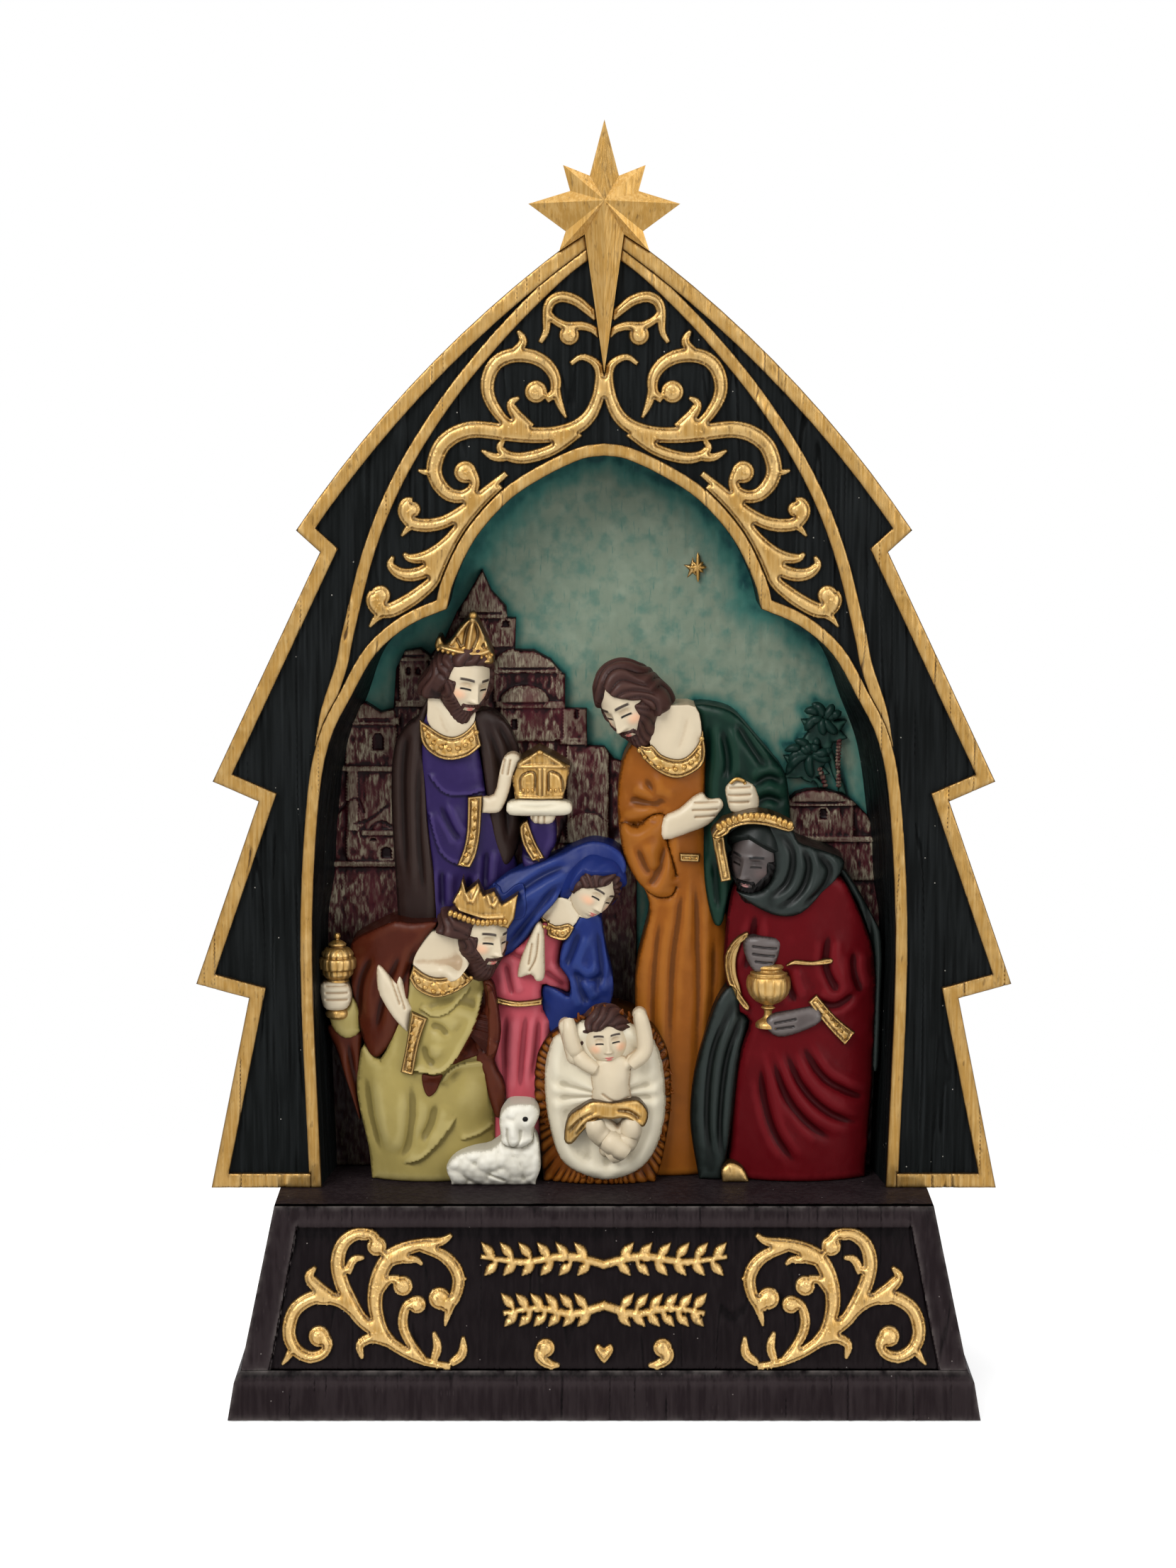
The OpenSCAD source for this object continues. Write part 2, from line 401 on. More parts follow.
o_scarf_robe = [[27.6, 105.6], [26, 100], [25.3, 93], [25.2, 86], [27.2, 79], [30.4, 76], [28.6, 70.1],
    [27.2, 61.8], [26.5, 53.6], [25.8, 42.3], [25.8, 42.3], [55, 42.3], [55, 42.3], [55.5, 50.8], [56.3, 61.8],
    [56.6, 72.9], [56.8, 82], [56.2, 90], [54.4, 95.6], [52.2, 100.8], [49.8, 105.4], [47, 107], [40, 108],
    [33, 108]];
o_scarf_strip = [[48.4, 108.2], [50.4, 107], [53.2, 102.6], [56.2, 97.1], [58, 92.2], [57.9, 78.4], [57.6, 66],
    [56.2, 66], [56.6, 80], [56, 90.5], [53.6, 98.6], [50.6, 104]];
o_scarf_train = [[26.4, 83.4], [29, 80.6], [30.8, 78], [30, 74.6], [28.2, 67.4], [27, 56.3], [25.8, 48],
    [24.6, 42.3], [24.6, 42.3], [20, 42.3], [20, 42.3], [18.6, 50], [18.1, 56.3], [18.9, 64.6], [21, 72.9],
    [23.5, 80.2]];
o_scarf = [[25.6, 115.4], [27.4, 118.4], [31, 119.4], [35, 118.8], [38.6, 117], [40, 114.4], [43.8, 112.9],
    [49.2, 110.6], [49, 107.6], [45, 103.6], [40.6, 99.4], [36.1, 98.9], [32, 100.4], [28.6, 102.6],
    [26.2, 105.8], [25.4, 111]];
o_scarf_face = [[24.6, 112], [25.8, 115.8], [29.4, 117.2], [33, 115.6], [34.9, 111.4], [34.7, 107], [32.6, 104.2],
    [29, 103.6], [26, 104.6], [24.6, 108]];
o_scarf_band = [[25.5, 119.3], [30, 120.8], [33.8, 120.4], [37.2, 119], [39, 117.8], [37.8, 116.8], [33.3, 118],
    [29.4, 118.3], [26.2, 117.4], [25.4, 116.4], [23.2, 115.2], [22.1, 116.2], [24.3, 118.8]];
o_scarf_ribbon = [[22.3, 115.7], [24.4, 115.9], [25, 113], [26.3, 106.4], [26.3, 106.4], [24.1, 106],
    [24.1, 106]];
o_scarf_cuff1 = [[29.6, 95.2], [27, 93.2], [25.2, 89.4], [25.6, 84.6], [27.6, 80.8], [29.6, 78.6], [30.2, 79.6],
    [28.6, 81.8], [27, 85], [26.5, 88.8], [27.6, 91.8], [29.8, 94]];
o_scarf_cuff2 = [[42.3, 80.8], [42.3, 80.8], [44, 82.4], [44, 82.4], [48.2, 77.4], [52.2, 73.9], [52.2, 73.9],
    [50.1, 71.3], [50.1, 71.3], [46.2, 75.6]];
o_scarf_belt = [[37.6, 88.4], [39.4, 89.7], [43, 89.4], [47, 89.9], [47, 88.8], [43, 88.5], [39.4, 88.7]];
o_scarf_beard = [[26.3, 110], [26.2, 106.6], [27.6, 103.6], [30.4, 102.4], [33.2, 103.8], [35, 107.6],
    [35.2, 111.4], [33.6, 111.2], [32.8, 108.2], [30.6, 106.8], [28.4, 108.4], [27.2, 110.6]];
o_scarf_hand1 = [[29.3, 94], [32.2, 94.6], [36.7, 93.6], [36.2, 90.5], [34.4, 87.6], [31.1, 87.2], [29, 91]];
o_scarf_hand2 = [[34.4, 78], [39, 79.2], [43.9, 79.8], [45, 76.8], [40.5, 74.3], [36.1, 73.4], [33.6, 75.6]];
o_scarf_shoe = [[24.8, 42.3], [24.8, 42.3], [24.6, 45], [26.4, 46.5], [29, 45.4], [30.4, 42.3], [30.4, 42.3]];

o_straw = [[-9.8, 74.6], [-13.2, 70.4], [-14.2, 66.3], [-14.6, 62], [-13.6, 56], [-13.2, 50], [-12.6, 42.3],
    [-12.6, 42.3], [10.8, 42.3], [10.8, 42.3], [12.2, 46.5], [13, 50.5], [13.9, 56.4], [14.1, 62], [13.6, 68.5],
    [11.9, 72.8], [8.6, 76.4], [0, 79]];
o_cloth = [[-8.6, 74.4], [-10.5, 73], [-11.9, 68.5], [-12.3, 63.4], [-11.9, 57.8], [-10.9, 52.7], [-9, 47.6],
    [-5.6, 45], [0, 43.4], [5.4, 44.4], [9.1, 46.8], [11.6, 51], [12.7, 55.5], [13, 59.5], [12.5, 65.7],
    [11.6, 69.9], [9.6, 73.8], [5, 77], [0, 78], [-5, 77]];
o_torso = [[-2.6, 68], [-2.4, 63], [-2.2, 59.6], [5.2, 59.6], [5.4, 64], [5.4, 69], [1.4, 70.4]];
o_swaddle = [[-8.2, 52.4], [-6.6, 51.6], [-4.1, 54.8], [-1.1, 57.2], [1.8, 57.2], [4.6, 57.4], [7.1, 55.6],
    [8.5, 55.4], [9.2, 58.1], [7.4, 60.8], [5.1, 61.1], [1.7, 60.7], [-2.2, 61], [-4.7, 59.6], [-7.4, 57.2]];
o_lamb_body = [[-20.4, 52.4], [-23.4, 50.3], [-27, 50], [-30.6, 48.8], [-32.7, 46.1], [-33, 42.3], [-33, 42.3],
    [-12.9, 42.3], [-12.9, 42.3], [-13.2, 48.3], [-13.8, 52.3], [-16, 54]];
o_lamb_head = [[-21.6, 56.4], [-21, 58.3], [-19.4, 59.8], [-16.8, 60], [-14.4, 59.5], [-13.3, 57.5],
    [-14.4, 54.8], [-15, 51.6], [-18, 50.8], [-21, 51.6], [-21.4, 54]];

// Plain solids of the figures, before each is fitted to what stands behind it.
module town_left_form() {
    intersection() {
        carve(o_town_left, 0, 3, [[-30, 0], [-30, 200], 60, 0.5], 1);
        upright(sky_y + eps, sky_y - niche_t)
            polygon(inset(arch_line, 0.1));
    }
}
module town_right_form() {
    intersection() {
        carve(o_town_right, 0, 3, [[40, 0], [40, 200], 60, 0.5], 2);
        upright(sky_y + eps, sky_y - niche_t)
            polygon(inset(arch_line, 0.1));
    }
}
module standing_robe_form() {
    carve(o_king_robe, 0, back_row, m_standing);
    carve(o_king_sleeve, 0, back_row - 1, m_gift);
}
module standing_cloak_form() {
    carve(o_king_cloak_l, 0, back_row + 0.7, m_standing);
    carve(o_king_cloak_r, 0, back_row + 0.7, m_standing);
}
module standing_head_form() {
    carve(o_king_neck, 0, back_row + 0.9, m_standing);
    egg(-28.6, 146.8, back_row - 1.6, 4.7, 7, 6);
}
module standing_hair_form() {
    carve(o_king_hair, 0, back_row - 1, [[-30, 60], [-30, 160], 7, 2]);
    carve(o_king_beard, back_row - 4, back_row + 3, [[-29, 60], [-29, 160], 6, 2]);
}
module standing_hands_form() {
    carve(o_king_arm, 2, back_row + 1.2, [[-21, 60], [-21, 160], 5, 1.5]);
    carve(o_king_fingers, 2, back_row + 1, m_gift);
}
module father_robe_form() {
    carve(o_father_robe, 0, back_row, m_father);
    carve(o_father_sleeve, 0, back_row + 1.4, [[9, 60], [9, 160], 7, 2]);
}
module father_cloak_form() {
    carve(o_father_cloak, 0, back_row + 0.4, m_shoulder);
}
module father_head_form() {
    carve(o_father_neck, 0, back_row + 0.7, m_father);
    egg(5.6, 142.2, back_row - 1.2, 4.8, 7, -18);
}
module mother_veil_form() {
    carve(o_mother_veil, 0, mid_row, m_veil);
    carve(o_mother_mantle, 0, mid_row - 0.2, m_mantle);
}
module mother_dress_form() {
    carve(o_mother_dress, 0, mid_row - 0.6, m_dress);
}
module mother_head_form() {
    carve(o_mother_neck, 0, mid_row + 0.1, m_mantle);
    egg(-2.8, 102.6, mid_row - 2.4, 4.3, 6, 26);
}
module kneeling_robe_form() {
    carve(o_kneel_robe, 0, front_row, m_kneeling);
    carve(o_kneel_arm, 4, front_row + 1.2, [[-33, 60], [-33, 90], 8, 2]);
}
module kneeling_cloak_form() {
    carve(o_kneel_cloak, 0, front_row + 0.6, m_kneeling);
    carve(o_kneel_wrap, 4, front_row - 1.6, [[-24, 60], [-24, 90], 6, 1.6]);
    carve(o_kneel_tail, 0, front_row - 5, [[-53, 50], [-53, 90], 6, 1.6]);
}
module kneeling_head_form() {
    carve(o_kneel_neck, 0, front_row - 0.4, m_kneeling);
    egg(-25.6, 94, front_row - 2.6, 4.7, 7, -8);
}
module kneeling_hair_form() {
    carve(o_kneel_hair, back_row + 0.8, front_row - 0.6, [[-29, 60], [-29, 110], 6, 1.4]);
    carve(o_kneel_beard, front_row - 6, front_row + 2, [[-27, 60], [-27, 110], 6, 1.6]);
}
module scarfed_robe_form() {
    carve(o_scarf_robe, 0, front_row, m_scarfed);
}
module scarfed_cloak_form() {
    carve(o_scarf_strip, 0, front_row - 5, [[54, 40], [54, 120], 6, 1.6]);
    carve(o_scarf_train, 0, front_row - 2, m_train);
}
module scarf_form() {
    difference() {
        carve(o_scarf, 0, front_row + 1.8, m_scarf);
        carve(o_scarf_face, 9, front_row + 9, [[30, 60], [30, 120], 40, 0.5]);
    }
}
module scarfed_head_form() {
    egg(30.4, 110.6, front_row - 2.6, 4.6, 6.6, 14);
}
module straw_form() {
    carve(o_straw, 0, crib_row, m_crib);
}
module cloth_form() {
    carve(o_cloth, crib_row - 5, crib_row + 1, m_crib);
}
module infant_head_form() {
    egg(0.7, 73.2, crib_row - 1.4, 4.1, 5.2, -6);
}

// Plinth
module plinth_foot() {
    color([0.16, 0.13, 0.13])
        intersection() {
            rotate([90, 0, 0])
                linear_extrude(height = 200, center = true)
                    polygon([[-base_w / 2, 0], [base_w / 2, 0], [base_w / 2 - 1.3, foot_h - 2.2],
                        [body_w / 2, foot_h], [-body_w / 2, foot_h], [-base_w / 2 + 1.3, foot_h - 2.2]]);
            rotate([90, 0, 90])
                linear_extrude(height = 300, center = true)
                    polygon([[-base_d / 2, 0], [base_d / 2, 0], [base_d / 2 - 0.8, foot_h - 2.2],
                        [body_d / 2, foot_h], [-body_d / 2, foot_h], [-base_d / 2 + 0.8, foot_h - 2.2]]);
        }
}
module plinth_body() {
    color([0.17, 0.14, 0.14])
        difference() {
            intersection() {
                rotate([90, 0, 0])
                    linear_extrude(height = 200, center = true)
                        polygon([[-body_w / 2, foot_h], [body_w / 2, foot_h], [base_top_w / 2, base_h],
                            [-base_top_w / 2, base_h]]);
                rotate([90, 0, 90])
                    linear_extrude(height = 300, center = true)
                        polygon([[-body_d / 2, foot_h], [body_d / 2, foot_h], [base_top_d / 2, base_h],
                            [-base_top_d / 2, base_h]]);
            }
            on_front(panel_recess, 5)
                polygon([[-panel_low_w / 2, -1], [panel_low_w / 2, -1], [panel_top_w / 2, panel_h],
                    [-panel_top_w / 2, panel_h]]);
        }
}
module panel_scrolls() {
    color(gold)
        ornament() {
            polygon(ring(pan([[0, 11.2], [0, 11.2], [1.1, 12.4], [2, 14.2], [1.3, 15.5], [0, 14.7], [0, 14.7],
                [-1.3, 15.5], [-2, 14.2], [-1.1, 12.4]])));
            both() {
                panel_dot(-11.8, 14.6, 1.8);
                panel_stroke([[-13, 14.6], [-12.9, 12.6], [-11, 11.2], [-8.8, 10.9]], [1.4, 1.8, 0.4]);
                panel_stroke([[-30.8, 10.8], [-34.9, 11.4], [-39, 13.1], [-42.6, 15.4], [-46.2, 18.2], [-49.2, 20.8],
                    [-51.3, 24.4], [-53.1, 28.5], [-53.8, 32.6], [-52.8, 36.2], [-50.3, 38.2], [-47.2, 38.2],
                    [-45.6, 36.6]], [0.8, 2.5, 1.5]);
                panel_dot(-45.9, 35.8, 1.9);
                panel_stroke([[-51.9, 30], [-50.6, 32.9], [-48.3, 33.4]], [1.2, 1.3, 0.4]);
                panel_stroke([[-48.6, 20.2], [-52.3, 23.8], [-55.9, 25.1], [-59, 24.9], [-62.1, 22.8],
                    [-63.4, 19.7], [-63.4, 16.7], [-62, 14.1], [-59.5, 12.7], [-56.9, 13.3], [-55.6, 15.4],
                    [-56.4, 17.6]], [2, 2.3, 1.2]);
                panel_dot(-57.5, 17, 2);
                panel_stroke([[-62.6, 14.8], [-63.8, 12.6], [-65, 11]], [1.6, 1, 0.3]);
                panel_stroke([[-54.6, 25], [-58, 27.4], [-59.5, 29.5], [-58.2, 31.5]], [1.6, 2, 0.4]);
                panel_stroke([[-41.4, 14.6], [-44.4, 17.8], [-45.9, 21.6], [-46.2, 25.4], [-45.4, 29.5], [-43.6, 33],
                    [-40.5, 35.1], [-36.4, 36.2], [-32.8, 36.8], [-30.7, 38.2]], [1.2, 2.8, 0.6]);
                panel_stroke([[-43.2, 32.2], [-40.6, 33], [-38, 33], [-36.6, 31.8]], [1, 1.2, 0.4]);
                panel_stroke([[-37, 35.6], [-33, 34.1], [-30.6, 32], [-29.4, 29.3], [-29.7, 26.4], [-30.9, 23.8],
                    [-33, 22.9]], [1.6, 2.2, 1.2]);
                panel_dot(-33.2, 24.9, 2.1);
                panel_stroke([[-30, 30.4], [-28.8, 29.4], [-27.7, 28.8]], [1.4, 0.9, 0.3]);
                panel_stroke([[-30.8, 23.6], [-31.6, 21.4], [-32.1, 19]], [1.4, 1.1, 0.3]);
                panel_stroke([[-45.4, 26], [-43.6, 28.6], [-41.2, 29]], [1.2, 1.4, 1]);
                panel_dot(-40.6, 27.5, 1.9);
                panel_stroke([[-36, 11.8], [-39.3, 16], [-40.6, 19.7], [-39.9, 23.2], [-38, 24.9]], [1, 1.7, 1]);
                panel_dot(-37.7, 23.6, 1.7);
                panel_stroke([[-34.4, 11.8], [-33.6, 14.8], [-34.4, 18]], [1, 1.5, 0.4]);
                panel_stroke([[-31, 11.2], [-28.6, 13.4], [-28.4, 17]], [1, 1.6, 0.4]);
                panel_stroke([[-43.4, 15.4], [-46.8, 16.6], [-49.2, 15.2], [-48.7, 12.2]], [1, 1.7, 0.4]);
            }
        }
}
module panel_garland() {
    color(gold)
        ornament()
            for (row = [[33, 25, 1], [22.4, 20.5, -1]])
                both() {
                    panel_stroke([[0.6, row[0] - 1.2 * row[2]], [-row[1] * 0.3, row[0] + 0.7 * row[2]],
                        [-row[1] * 0.65, row[0] - 0.5 * row[2]], [-row[1], row[0] + 0.6 * row[2]]], [1.5, 1.3, 0.7]);
                    for (k = [0:5]) {
                        x = -3 - k * (row[1] - 4) / 5.6;
                        a = pan([[x, row[0]]])[0];
                        leaf(a, a + [-3.2, 3.6], 2.1);
                        leaf(a + [0.6, 0], a + [-2.6, -3.5], 2.1);
                    }
                }
}

// Tree frame
module tree_frame() {
    color(black)
        difference() {
            upright(back_y, face_y)
                polygon(tree_line);
            upright(sky_y + sky_t, face_y - 1)
                polygon(concat([[niche_half - 1.4, -1]], arch_line, [[1.4 - niche_half, -1]]));
        }
}
module star_cut() {
    translate([0, star_h])
        polygon(inset(star_line, -0.05));
}
module outer_border() {
    color(gold)
        upright(face_y, rim_y)
            difference() {
                polygon(tree_line);
                polygon(inset(tree_line, border_w));
                translate([-niche_half - 0.8, -1])
                    square([2 * niche_half + 1.6, 20]);
                star_cut();
            }
}
module trefoil_rim() {
    color(gold)
        upright(face_y, rim_y)
            difference() {
                polygon(arch_outer);
                polygon(concat([[niche_half - 1.4, -1]], arch_line, [[1.4 - niche_half, -1]]));
                difference() {
                    polygon(tree_line);
                    polygon(inset(tree_line, border_w + 0.05));
                    translate([-niche_half - 0.8, -1])
                        square([2 * niche_half + 1.6, 20]);
                }
            }
}
module ogive_rim() {
    color(gold)
        upright(face_y, rim_y)
            difference() {
                both()
                    stroke(ogive_half, [ogive_w, ogive_w, ogive_w]);
                polygon(arch_outer);
                difference() {
                    polygon(tree_line);
                    polygon(inset(tree_line, border_w));
                }
                star_cut();
            }
}
module tracery_left_2d() {
    translate([0, -drawn_floor]) {
        vine([[-6.8, 211.8], [-4.6, 213.2], [-2.1, 212.3], [-0.9, 210.3], [-0.9, 207.3], [-1.5, 204.4],
            [-3, 201.4], [-5.6, 199.2], [-9.5, 197.9], [-13.4, 197.6], [-18, 197.9], [-24.3, 198.7], [-27.3, 198.6],
            [-30.2, 197.6], [-32.7, 195.5], [-34, 192.5], [-34.2, 190], [-33.2, 187.6], [-31.2, 185.7],
            [-28.8, 185.3], [-26.8, 186.4], [-26.1, 188.3], [-26.6, 190.4]], [0.6, 2.5, 1.3]);
        dot(-28, 190.2, 2.36);
        vine([[-14.8, 198], [-19.6, 200.2], [-22.2, 203.3], [-23.4, 206.3], [-23.2, 209.3], [-21.8, 211.9],
            [-19.4, 213.3], [-16.4, 213.6], [-13.4, 212.9], [-11.1, 211.2], [-9.8, 208.8], [-10, 206.2],
            [-11.8, 204.6]], [1.2, 2.2, 1.1]);
        vine([[-9.8, 208], [-9.3, 205], [-8.6, 203], [-7.6, 201]], [1.2, 1.1, 0.3]);
        dot(-13.7, 206.3, 2.36);
        vine([[-14.8, 198.8], [-17.8, 201.8], [-18.7, 204], [-17, 205.2]], [1.8, 1.5, 0.4]);
        vine([[-19, 213.6], [-16.6, 215.6], [-16.4, 217], [-17.4, 218.6]], [1, 1.3, 0.4]);
        vine([[-5, 198.4], [-9.5, 195.2], [-13.4, 193.6], [-16.9, 193], [-19.6, 193.6], [-21, 195.2],
            [-20.2, 196.6]], [1.6, 1.7, 0.6]);
        vine([[-18.8, 193.4], [-22, 193.2], [-24.8, 194.6]], [1.2, 1.2, 0.3]);
        vine([[-33.6, 191.4], [-35.6, 190.2], [-37.6, 190.6]], [1.4, 1, 0.3]);
        vine([[-19.6, 190], [-23.2, 187], [-26.8, 183.8], [-29.4, 181.8], [-32.2, 180.2], [-35.2, 179.5],
            [-38.1, 179.7], [-39.8, 180.8], [-40.6, 182.5], [-40, 184.2], [-38.5, 184.4]], [0.8, 2, 0.9]);
        dot(-38.6, 182.7, 1.65);
        vine([[-37.4, 179.8], [-39.4, 179], [-41, 177.2]], [1.1, 1, 0.3]);
        vine([[-27.4, 181.8], [-31, 176.9], [-34.2, 174.1], [-37.1, 172.9], [-39.4, 172.9],
            [-40.6, 173.9]], [1.2, 1.8, 0.4]);
        vine([[-29.6, 178.6], [-33, 173], [-35.7, 170.6], [-38.6, 169.5], [-41.4, 169.8], [-43.2, 171.5],
            [-42.6, 173.3]], [1.2, 2, 0.4]);
        vine([[-31.4, 175.2], [-34, 169], [-37, 166], [-40.5, 163.6], [-43.6, 162.2], [-46, 162.6],
            [-47.2, 164.4], [-46.8, 166.2]], [1.2, 2.3, 1]);
        dot(-45.3, 165.3, 2.12);
        vine([[-43.6, 162.4], [-46, 160.8], [-47.6, 158.8]], [1.6, 1.1, 0.3]);
        vine([[-20.6, 187.4], [-26, 182.4], [-30.2, 176.4], [-33.2, 169]], [0.6, 1.7, 0.8]);
    }
}
module tracery_trim() {
    difference() {
        children();
        polygon(arch_outer);
        both()
            stroke(ogive_half, [ogive_w, ogive_w, ogive_w]);
        star_cut();
    }
}
module tracery() {
    color(gold)
        upright(face_y, face_y - tracery_t)
            tracery_trim()
                both()
                    tracery_left_2d();
}
module crest_scrolls() {
    color(gold)
        upright(face_y, face_y - tracery_t)
            tracery_trim()
                both()
                    translate([0, -drawn_floor]) {
                        vine([[-1.4, 221], [-3.6, 222.9], [-5.6, 224.4], [-8.3, 225.2], [-10.4, 224.5],
                            [-11.3, 222.9], [-11.5, 220.6], [-11.7, 218.2], [-12.9, 216]], [1.2, 1.6, 0.6]);
                        vine([[-0.8, 217.4], [-2.4, 218.8], [-4.6, 219.4], [-7.6, 219.4], [-10, 220.6],
                            [-11.2, 222.2]], [0.8, 1.3, 0.8]);
                        dot(-7, 217.6, 2.12);
                    }
}
module star_topper() {
    n = len(star_line);
    front = [for (i = [0:n - 1]) [star_line[i].x, -(i % 2 == 0 ? 2.2 : 2.6), star_line[i].y]];
    rear = [for (i = [0:n - 1]) [star_line[i].x, 0, star_line[i].y]];
    color(gold) {
        translate([0, face_y, base_h + star_h])
            polyhedron(concat([[0, -star_front, 0], [0, 0, 0]], front, rear), concat(
                [for (i = [0:n - 1]) [0, 2 + (i + 1) % n, 2 + i]],
                [for (i = [0:n - 1]) [2 + i, 2 + (i + 1) % n, 2 + n + (i + 1) % n, 2 + n + i]],
                [for (i = [0:n - 1]) [1, 2 + n + i, 2 + n + (i + 1) % n]]));
        upright(face_y + star_back, face_y)
            difference() {
                translate([0, star_h])
                    polygon([for (q = star_line) if (q.y > -5) q * 0.96]);
                polygon(tree_line);
            }
    }
}

// Sky and town
module sky_panel() {
    color([0.45, 0.6, 0.56])
        upright(sky_y + sky_t, sky_y)
            polygon(arch_line);
}
module sky_star() {
    p = [for (k = [0:9]) let (r = k % 2 == 0 ? 2.7 : 1.1) [18.5 + r * 0.8 * sin(36 * k), 127 + r * cos(36 * k)]];
    color(gold)
        upright(sky_y, sky_y - 0.9)
            polygon(p);
}
module town() {
    color([0.25, 0.14, 0.15]) {
        town_left_form();
        town_right_form();
    }
}
module palm_trees() {
    color([0.14, 0.22, 0.2])
        difference() {
            upright(sky_y, sky_y - 2)
                translate([0, -drawn_floor])
                    for (c = [[46, 137.2, 49.8], [42.4, 129.6, 45.6]]) {
                        stroke([[c[2], 118], [c[2], 124], [c[0], c[1]]], [1.9, 1.6, 1.4]);
                        for (d = [[-4.4, 2.6], [-1.6, 4.4], [1.8, 4], [4.4, 2.4], [4.6, -1], [1, -4.2], [-4.6, -2.2]])
                            leaf([c[0], c[1]] - d * 0.16, [c[0], c[1]] + d * 1.1, 3.1);
                    }
            town_right_form();
        }
}

// Standing king
module standing_king_robe() {
    color([0.2, 0.15, 0.36])
        difference() {
            standing_robe_form();
            town_left_form();
        }
}
module standing_king_cloak() {
    color([0.18, 0.14, 0.12])
        difference() {
            standing_cloak_form();
            standing_robe_form();
            town_left_form();
        }
}
module standing_king_head() {
    color(skin)
        difference() {
            standing_head_form();
            standing_robe_form();
            standing_cloak_form();
            town_left_form();
        }
}
module standing_king_hair() {
    color(hair_brown)
        difference() {
            standing_hair_form();
            standing_head_form();
            standing_cloak_form();
            standing_robe_form();
            town_left_form();
        }
}
module standing_king_crown() {
    color(gold)
        difference() {
            carve(o_king_crown, 3.5, back_row + 3.4, [[-29, 60], [-28, 160], 7, 2.4]);
            standing_hair_form();
            standing_head_form();
        }
}
module standing_king_trim() {
    color(gold)
        difference() {
            union() {
                carve(o_king_collar, 4, back_row + 0.7 + trim_t, m_standing);
                carve(o_king_cuff1, 4, back_row + 0.4 + trim_t, m_standing);
                carve(o_king_cuff2, 4, back_row - 1 + trim_t, m_gift);
            }
            standing_robe_form();
            standing_cloak_form();
            standing_head_form();
            standing_hair_form();
        }
}
module standing_king_hands() {
    color(skin)
        difference() {
            standing_hands_form();
            standing_robe_form();
            standing_cloak_form();
            town_left_form();
            carve(o_king_cuff1, 4, back_row + 0.4 + trim_t, m_standing);
        }
}
module chest_cushion() {
    color([0.85, 0.83, 0.78])
        difference() {
            carve(o_cushion, 2, back_row + 2.4, [[-30, 120.8], [0, 120.8], 1.8, 1]);
            standing_hands_form();
            standing_robe_form();
            standing_cloak_form();
            town_left_form();
        }
}
module gift_chest() {
    color(gold)
        difference() {
            carve(o_chest, 2, back_row + 1.6, m_gift, 1);
            carve(o_cushion, 2, back_row + 2.4, [[-30, 120.8], [0, 120.8], 1.8, 1]);
            standing_hands_form();
            standing_cloak_form();
            town_left_form();
        }
}

// Father
module father_robe() {
    color([0.58, 0.34, 0.12])
        difference() {
            father_robe_form();
            town_left_form();
            town_right_form();
        }
}
module father_cloak() {
    color([0.08, 0.18, 0.16])
        difference() {
            father_cloak_form();
            father_robe_form();
            town_right_form();
        }
}
module father_head() {
    color(skin)
        difference() {
            father_head_form();
            father_robe_form();
            father_cloak_form();
        }
}
module father_hair() {
    color(hair_brown)
        difference() {
            union() {
                carve(o_father_hair, 0, back_row + 1.6, [[-8, 140], [20, 150], 8, 3]);
                carve(o_father_beard, back_row - 4, back_row + 3, [[8.5, 60], [8.5, 160], 5, 1.6]);
            }
            father_head_form();
            father_cloak_form();
            father_robe_form();
            town_left_form();
        }
}
module father_trim() {
    color(gold)
        difference() {
            union() {
                carve(o_father_collar, 4, back_row + 0.4 + trim_t, m_father);
                carve(o_father_belt, 4, back_row + trim_t, m_father);
            }
            father_robe_form();
            father_cloak_form();
            father_head_form();
            carve(o_father_beard, back_row - 4, back_row + 3, [[8.5, 60], [8.5, 160], 5, 1.6]);
        }
}
module father_hands() {
    color(skin)
        difference() {
            union() {
                carve(o_father_hand1, 4, back_row + 1.8, [[0, 112], [30, 124], 5, 1.5]);
                carve(o_father_fist, 4, back_row + 2.2, [[28.4, 60], [28.4, 160], 4, 1.5]);
            }
            father_robe_form();
            father_cloak_form();
        }
}

// Mother
module mother_veil() {
    color([0.12, 0.19, 0.47])
        difference() {
            mother_veil_form();
            standing_robe_form();
            standing_cloak_form();
            carve(o_king_cuff2, 4, back_row - 1 + trim_t, m_gift);
            carve(o_king_cuff1, 4, back_row + 0.4 + trim_t, m_standing);
            father_robe_form();
            town_left_form();
        }
}
module mother_dress() {
    color([0.64, 0.23, 0.31])
        difference() {
            mother_dress_form();
            mother_veil_form();
            standing_robe_form();
            standing_cloak_form();
            town_left_form();
        }
}
module mother_head() {
    color(skin)
        difference() {
            mother_head_form();
            mother_veil_form();
            mother_dress_form();
            father_robe_form();
            town_left_form();
        }
}
module mother_hair() {
    color(hair_brown)
        difference() {
            carve(o_mother_hair, 2, mid_row - 0.6, m_veil);
            mother_head_form();
            mother_veil_form();
            father_robe_form();
            town_left_form();
        }
}
module mother_trim() {
    color(gold)
        difference() {
            union() {
                carve(o_mother_collar, 4, mid_row - 0.2 + trim_t, m_mantle);
                carve(o_mother_belt, 4, mid_row - 0.4 + trim_t, m_dress);
            }
            mother_dress_form();
            mother_veil_form();
            mother_head_form();
        }
}
module mother_hands() {
    color(skin)
        difference() {
            carve(o_mother_hands, 6, mid_row + 1.8, [[-15, 60], [-13.6, 120], 3, 1]);
            mother_dress_form();
            mother_veil_form();
            carve(o_mother_collar, 4, mid_row - 0.2 + trim_t, m_mantle);
        }
}

